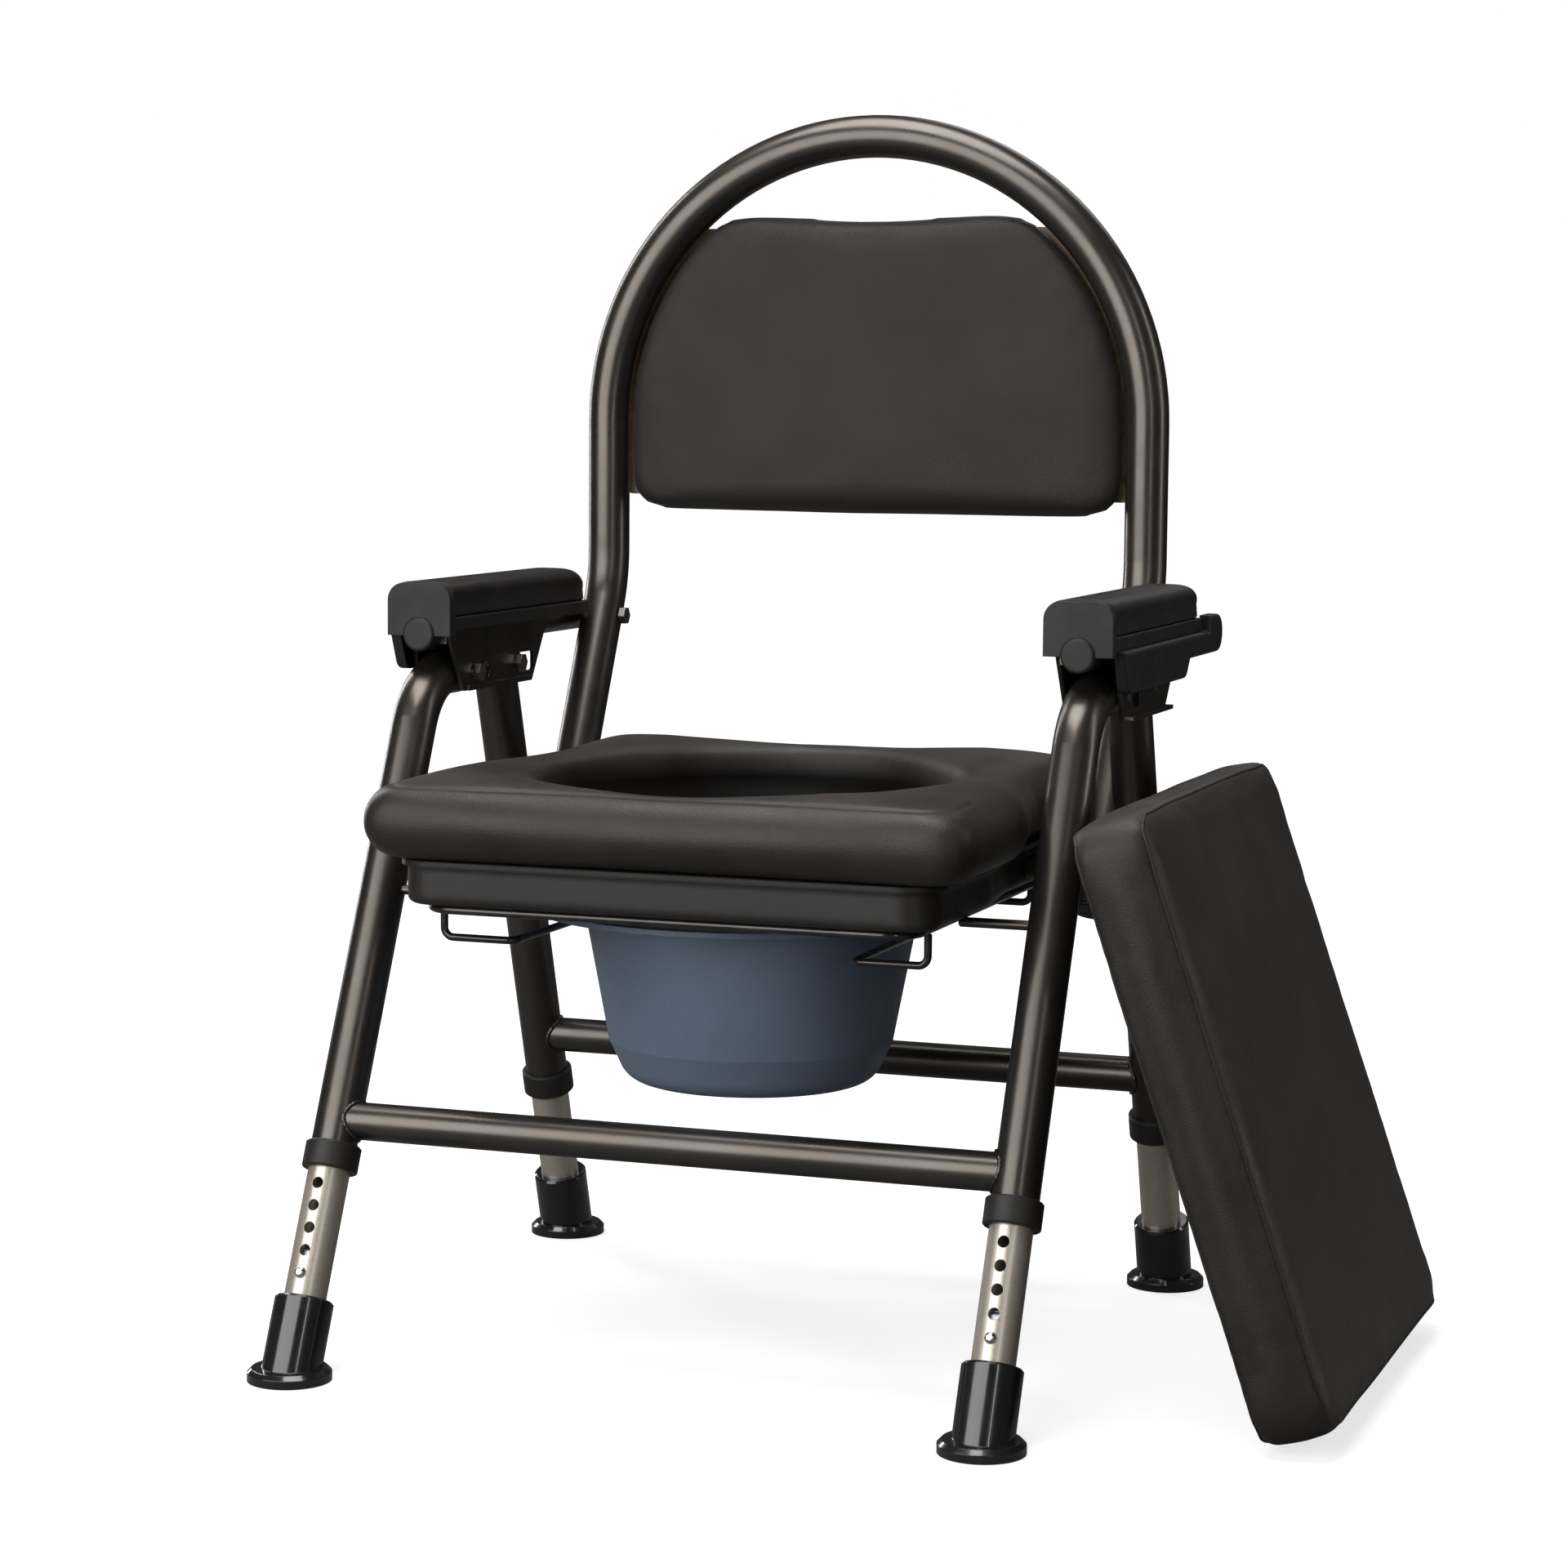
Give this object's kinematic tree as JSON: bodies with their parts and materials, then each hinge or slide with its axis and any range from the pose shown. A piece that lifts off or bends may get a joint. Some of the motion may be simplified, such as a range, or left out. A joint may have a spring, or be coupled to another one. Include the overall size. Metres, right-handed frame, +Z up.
{
  "type": "commode chair",
  "caption": "Folding commode chair with arched tube back, padded lift-up seat with an opening, sliding pail below, armrests and legs that adjust in height.",
  "frame": {"origin": "on the floor, midway between the centres of the four feet", "axes": "+Z up, +Y to the rear of the chair, +X to the right of someone facing the chair"},
  "size_m": [0.7615, 0.5703, 0.9045],
  "materials": {
    "frame_paint": "semi-gloss dark bronze-black paint",
    "extension_metal": "anodised champagne grey",
    "foot_moulding": "glossy black",
    "black_plastic": "satin black",
    "armrest_foam": "soft matte black",
    "leatherette": "grained black-brown leatherette",
    "board_wood": "unfinished plywood",
    "bolt_steel": "zinc plated",
    "button_chrome": "polished",
    "spring_steel": "plain spring steel",
    "bush_plastic": "natural plastic",
    "wire_steel": "dark coated wire",
    "pail_plastic": "blue-grey moulded plastic"
  },
  "bodies": {
    "back_frame": {"back_arch_tube": "frame_paint", "back_tube_plugs": "black_plastic", "rear_legs": "frame_paint", "rear_leg_top_plugs": "black_plastic", "rear_crossbar": "frame_paint", "rear_leg_collars": "black_plastic", "armrest_rails": "frame_paint", "armrest_rail_caps": "black_plastic", "armrest_inner_plates": "frame_paint", "armrest_outer_plates": "frame_paint", "armrest_outer_covers": "black_plastic", "armrest_pad_bases": "black_plastic", "armrest_pads": "armrest_foam", "armrest_pad_end_caps": "black_plastic", "front_pivot_bolts": "bolt_steel", "rear_leg_bolts": "bolt_steel", "armrest_back_bolts": "bolt_steel", "seat_pivot_bolts": "bolt_steel", "bolt_spacers": "bolt_steel", "seat_pivot_washers": "bush_plastic", "backrest_board": "board_wood", "backrest_pad": "leatherette", "backrest_rear_cover": "leatherette", "backrest_screws": "bolt_steel"},
    "front_frame": {"front_legs": "frame_paint", "front_crossbar": "frame_paint", "front_leg_collars": "black_plastic", "front_leg_bushes": "bush_plastic", "seat_rests": "frame_paint"},
    "seat": {"seat_board": "black_plastic", "seat_cushion": "leatherette", "seat_hinge_brackets": "frame_paint", "seat_bracket_screws": "bolt_steel", "seat_wire_frame": "wire_steel", "pail_rails": "wire_steel", "pail_rear_stop": "wire_steel"},
    "pail": {"pail": "pail_plastic"},
    "opening_cover": {"opening_cover": "leatherette"},
    "extension_front_left": {"leg_extension_front_left": "extension_metal", "foot_front_left": "foot_moulding"},
    "button_front_left": {"height_button_front_left": "button_chrome", "button_spring_front_left": "spring_steel"},
    "extension_front_right": {"leg_extension_front_right": "extension_metal", "foot_front_right": "foot_moulding"},
    "button_front_right": {"height_button_front_right": "button_chrome", "button_spring_front_right": "spring_steel"},
    "extension_rear_left": {"leg_extension_rear_left": "extension_metal", "foot_rear_left": "foot_moulding"},
    "button_rear_left": {"height_button_rear_left": "button_chrome", "button_spring_rear_left": "spring_steel"},
    "extension_rear_right": {"leg_extension_rear_right": "extension_metal", "foot_rear_right": "foot_moulding"},
    "button_rear_right": {"height_button_rear_right": "button_chrome", "button_spring_rear_right": "spring_steel"}
  },
  "joints": [
    {"name": "front_frame_fold", "type": "hinge", "parent": "back_frame", "child": "front_frame", "pos_m": [0, 0.022, 0.478], "axis": [1, 0, 0], "range_deg": [0, 46]},
    {"name": "seat_lift", "type": "hinge", "parent": "back_frame", "child": "seat", "pos_m": [0, 0.1508, 0.3275], "axis": [-1, 0, 0], "range_deg": [0, 80]},
    {"name": "pail_slide", "type": "slide", "parent": "seat", "child": "pail", "axis": [0, -1, 0], "range_m": [0, 0.28]},
    {"name": "cover_pull_away", "type": "slide", "parent": "back_frame", "child": "opening_cover", "axis": [1, 0, 0], "range_m": [0, 0.25]},
    {"name": "front_left_leg_height", "type": "slide", "parent": "front_frame", "child": "extension_front_left", "axis": [0, -0.4226, -0.9063], "range_m": [-0.0648, 0.0162], "stiffness_N_per_m": 80000},
    {"name": "front_left_button_press", "type": "slide", "parent": "extension_front_left", "child": "button_front_left", "axis": [0, 0.9063, -0.4226], "range_m": [0, 0.003], "stiffness_N_per_m": 2000},
    {"name": "front_right_leg_height", "type": "slide", "parent": "front_frame", "child": "extension_front_right", "axis": [0, -0.4226, -0.9063], "range_m": [-0.0648, 0.0162], "stiffness_N_per_m": 80000},
    {"name": "front_right_button_press", "type": "slide", "parent": "extension_front_right", "child": "button_front_right", "axis": [0, 0.9063, -0.4226], "range_m": [0, 0.003], "stiffness_N_per_m": 2000},
    {"name": "rear_left_leg_height", "type": "slide", "parent": "back_frame", "child": "extension_rear_left", "axis": [0, 0.3008, -0.9537], "range_m": [-0.0486, 0.0162], "stiffness_N_per_m": 80000},
    {"name": "rear_left_button_press", "type": "slide", "parent": "extension_rear_left", "child": "button_rear_left", "axis": [0, -0.9537, -0.3008], "range_m": [0, 0.003], "stiffness_N_per_m": 2000},
    {"name": "rear_right_leg_height", "type": "slide", "parent": "back_frame", "child": "extension_rear_right", "axis": [0, 0.3008, -0.9537], "range_m": [-0.0486, 0.0162], "stiffness_N_per_m": 80000},
    {"name": "rear_right_button_press", "type": "slide", "parent": "extension_rear_right", "child": "button_rear_right", "axis": [0, -0.9537, -0.3008], "range_m": [0, 0.003], "stiffness_N_per_m": 2000}
  ]
}
